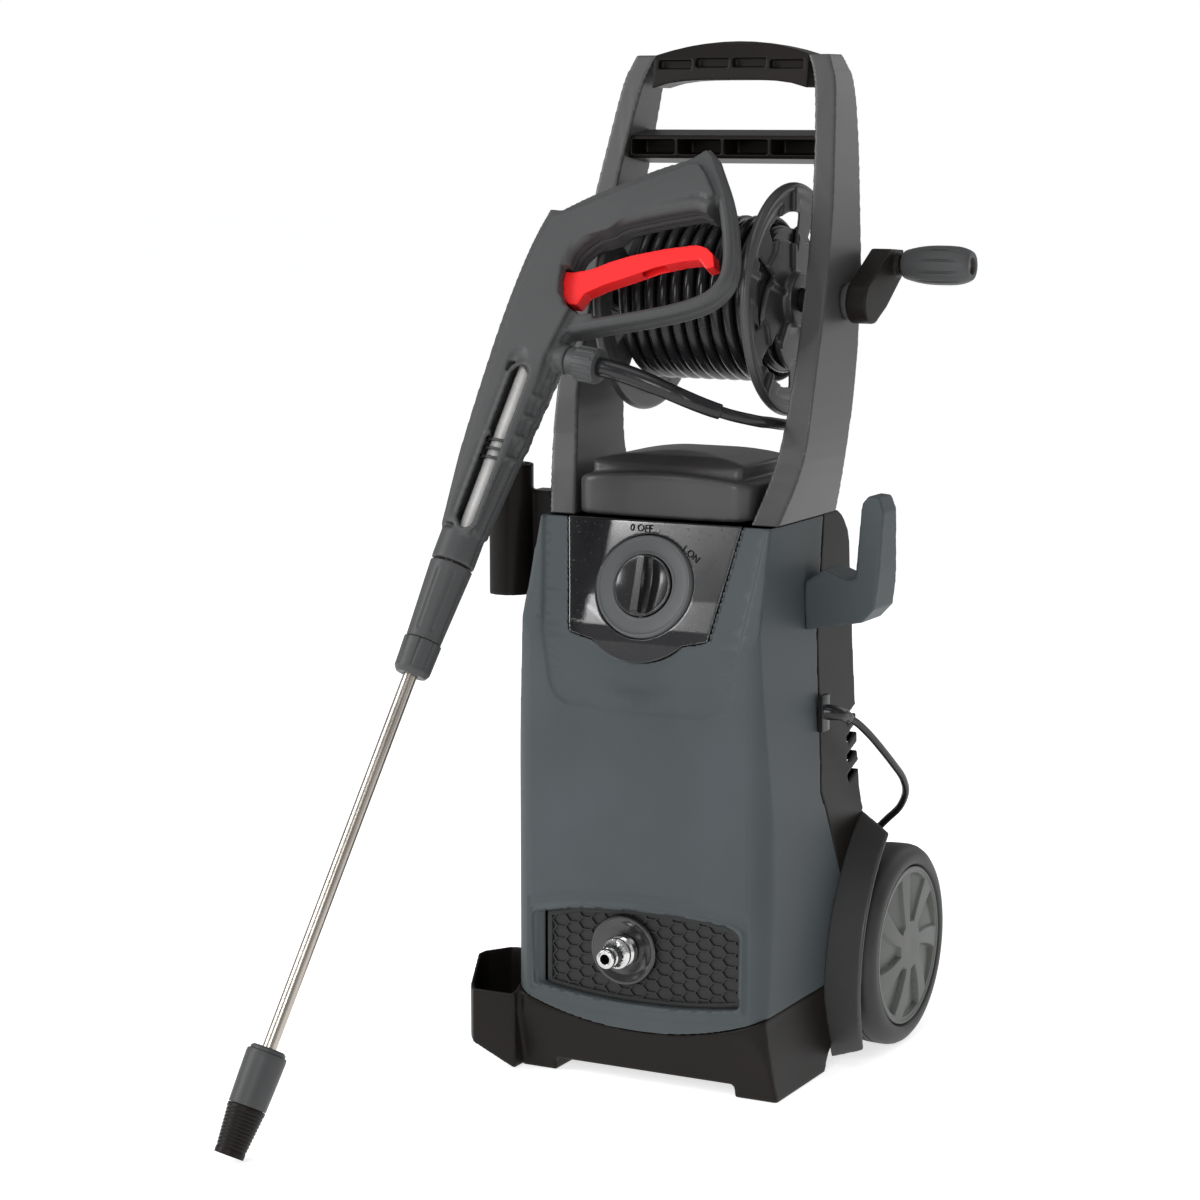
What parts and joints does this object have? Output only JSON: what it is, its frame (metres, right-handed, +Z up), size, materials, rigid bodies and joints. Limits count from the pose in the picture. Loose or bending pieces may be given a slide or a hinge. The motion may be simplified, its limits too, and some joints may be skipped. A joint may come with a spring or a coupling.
{
  "type": "pressure washer",
  "caption": "Upright two-wheeled pressure washer with hose reel, crank, grip bar, rotary switch, water inlet, mains lead, and a trigger gun with a long lance leaning on the front",
  "frame": {"origin": "on the floor, under the middle of the box of the machine with its gun and lance, without the mains lead", "axes": "+Z up, -Y out of the machine's front, +X towards the crank side"},
  "size_m": [0.4306, 0.7753, 0.9],
  "materials": {
    "shell_grey": "fine moulded grain",
    "black_plastic": "fine moulded grain",
    "gloss_black": "polished moulding",
    "dial_grey": "satin moulding",
    "grip_dark": "satin moulding",
    "tyre_black": "moulded tread",
    "disc_grey": "satin moulding",
    "hose_black": "smooth cover",
    "trigger_red": "satin moulding",
    "steel": "drawn tube",
    "plated": "bright plating",
    "brass": "turned",
    "cast_alloy": "as cast",
    "motor_paint": "stoved paint",
    "switch_body": "moulded",
    "plug_black": "moulded"
  },
  "bodies": {
    "root": {"base_tray": "black_plastic", "front_shell": "shell_grey", "rear_shell": "black_plastic", "top_cover": "black_plastic", "control_panel": "gloss_black", "dial_ring": "dial_grey", "rotary_switch": "switch_body", "upright_left": "black_plastic", "upright_right": "black_plastic", "grip_bar": "black_plastic", "cross_bar": "black_plastic", "reel_bushes": "grip_dark", "wheel_axle": "steel", "wheel_guard_left": "black_plastic", "wheel_guard_right": "black_plastic", "inlet_grille": "grip_dark", "inlet_dish": "gloss_black", "inlet_connector": "plated", "motor": "motor_paint", "pump": "cast_alloy", "outlet_pipe": "hose_black", "inlet_pipe": "brass", "capacitor": "switch_body", "cable_gland": "hose_black", "mains_lead": "hose_black", "lead_coil": "hose_black", "lead_tie": "plug_black", "mains_plug": "plug_black", "lance_holder": "black_plastic", "cable_hook": "shell_grey", "hose_free": "hose_black", "shell_screws": "steel"},
    "reel": {"reel_drum": "black_plastic", "reel_flange_left": "black_plastic", "reel_flange_right": "black_plastic", "hose_core": "hose_black", "hose_winding": "hose_black", "crank_arm": "grip_dark", "crank_pin": "steel"},
    "crank_handle": {"crank_grip": "grip_dark"},
    "wheel_l": {"tyre_left": "tyre_black", "wheel_disc_left": "disc_grey"},
    "wheel_r": {"tyre_right": "tyre_black", "wheel_disc_right": "disc_grey"},
    "dial": {"switch_knob": "grip_dark"},
    "gun": {"gun_shell_front": "grip_dark", "gun_shell_back": "grip_dark", "gun_tube": "steel", "gun_valve": "brass", "trigger_pin": "steel", "hose_relief": "hose_black"},
    "trigger_lever": {"trigger": "trigger_red"},
    "lock_lever": {"trigger_lock": "trigger_red"},
    "swivel_nut": {"hose_nut": "grip_dark"},
    "lance": {"lance_sleeve": "grip_dark", "lance_nut": "grip_dark", "lance_tube": "steel", "nozzle_body": "grip_dark"},
    "nozzle_grip": {"nozzle_sleeve": "grip_dark"}
  },
  "joints": [
    {"name": "reel_spin", "type": "hinge", "parent": "root", "child": "reel", "pos_m": [-0.00166, 0.16658, 0.677], "axis": [1, 0, 0], "continuous": true},
    {"name": "crank_grip_spin", "type": "hinge", "parent": "reel", "child": "crank_handle", "pos_m": [0.1523, 0.21854, 0.707], "axis": [1, 0, 0], "continuous": true},
    {"name": "wheel_left_spin", "type": "hinge", "parent": "root", "child": "wheel_l", "pos_m": [-0.14116, 0.24258, 0.0915], "axis": [1, 0, 0], "continuous": true},
    {"name": "wheel_right_spin", "type": "hinge", "parent": "root", "child": "wheel_r", "pos_m": [0.13784, 0.24258, 0.0915], "axis": [1, 0, 0], "continuous": true},
    {"name": "switch_turn", "type": "hinge", "parent": "root", "child": "dial", "pos_m": [-0.00166, 0.02416, 0.438], "axis": [0, 0.9514, -0.3078], "range_deg": [0, 50]},
    {"name": "gun_lift", "type": "slide", "parent": "root", "child": "gun", "axis": [0, 0, 1], "range_m": [0, 0.12]},
    {"name": "trigger_pull", "type": "hinge", "parent": "gun", "child": "trigger_lever", "pos_m": [-0.09357, 0.04002, 0.69491], "axis": [0, -0.8846, 0.4664], "range_deg": [0, 9], "stiffness_Nm_per_rad": 1.5, "springref_deg": -8},
    {"name": "lock_flip", "type": "hinge", "parent": "trigger_lever", "child": "lock_lever", "pos_m": [-0.03766, 0.0446, 0.7036], "axis": [0, 0.8846, -0.4664], "range_deg": [0, 16]},
    {"name": "nut_turn", "type": "hinge", "parent": "gun", "child": "swivel_nut", "pos_m": [-0.05366, 0.00491, 0.62832], "axis": [0.9903, -0.0649, -0.1231], "continuous": true},
    {"name": "lance_twist", "type": "hinge", "parent": "gun", "child": "lance", "pos_m": [-0.12962, -0.07959, 0.46804], "axis": [0.1392, 0.4618, 0.876], "range_deg": [0, 45]},
    {"name": "nozzle_turn", "type": "hinge", "parent": "lance", "child": "nozzle_grip", "pos_m": [-0.19948, -0.31144, 0.0283], "axis": [0.1392, 0.4618, 0.876], "range_deg": [0, 90]}
  ]
}
